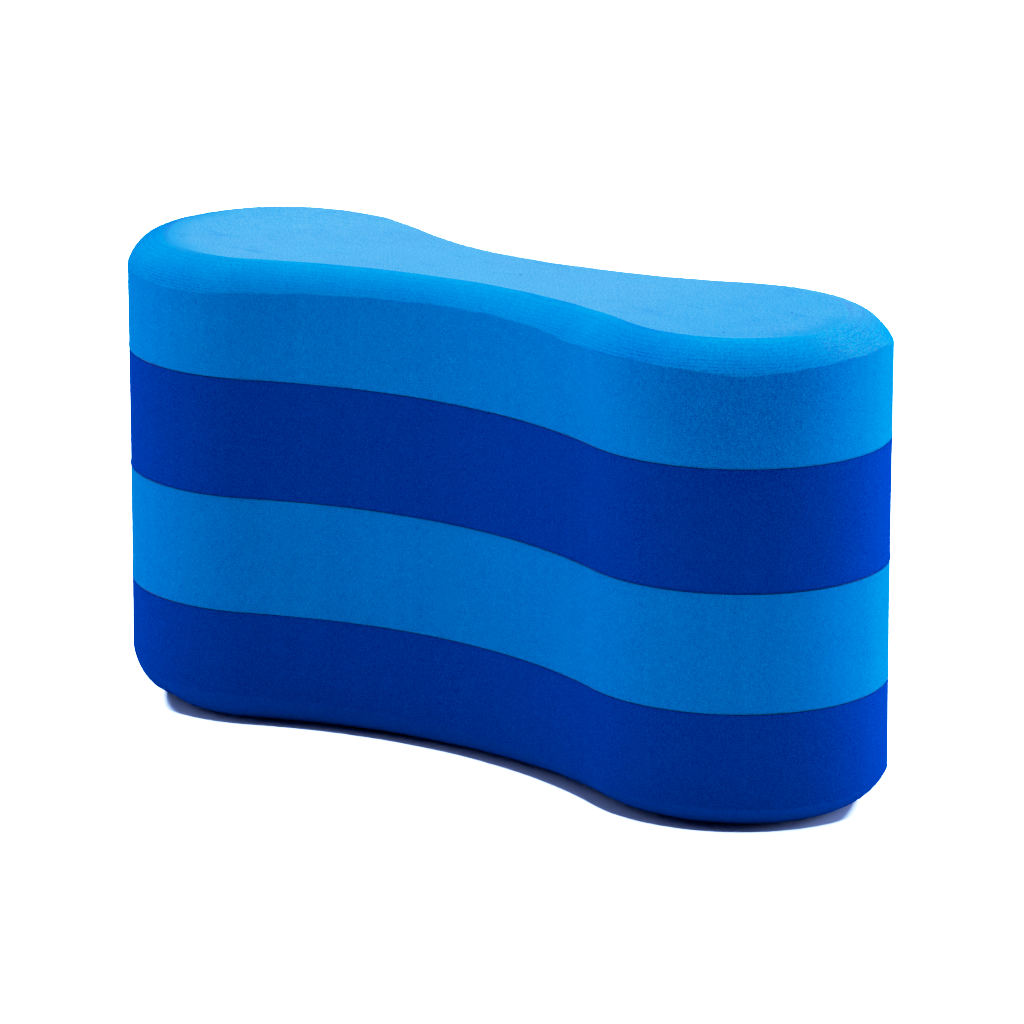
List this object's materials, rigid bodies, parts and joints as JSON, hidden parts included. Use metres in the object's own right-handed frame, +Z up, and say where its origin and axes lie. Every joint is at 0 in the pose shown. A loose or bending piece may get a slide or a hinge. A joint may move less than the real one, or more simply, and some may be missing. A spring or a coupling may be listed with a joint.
{
  "type": "pull buoy",
  "caption": "Figure-eight leg float glued up from flat slabs of light and royal blue closed-cell foam, rounded over at top and bottom, gripped between a swimmer's thighs.",
  "frame": {"origin": "centre of the flat bottom face that the float stands on", "axes": "+X through the two lobes, +Y across the narrow waist, +Z up through the glued stack"},
  "size_m": [0.235, 0.08, 0.1275],
  "materials": {
    "light_blue_foam": "matt closed-cell EVA foam, cut walls with a fine grain, smoother skin on the flat face",
    "royal_blue_foam": "matt closed-cell EVA foam, cut walls with a fine grain",
    "contact_adhesive": "dark, thin dried contact adhesive, seen only as a fine line at each seam"
  },
  "bodies": {
    "root": {"bottom_foam_layer": "royal_blue_foam", "lower_glue_film": "contact_adhesive", "lower_middle_foam_layer": "light_blue_foam", "middle_glue_film": "contact_adhesive", "upper_middle_foam_layer": "royal_blue_foam", "upper_glue_film": "contact_adhesive", "top_foam_layer": "light_blue_foam"}
  },
  "joints": []
}
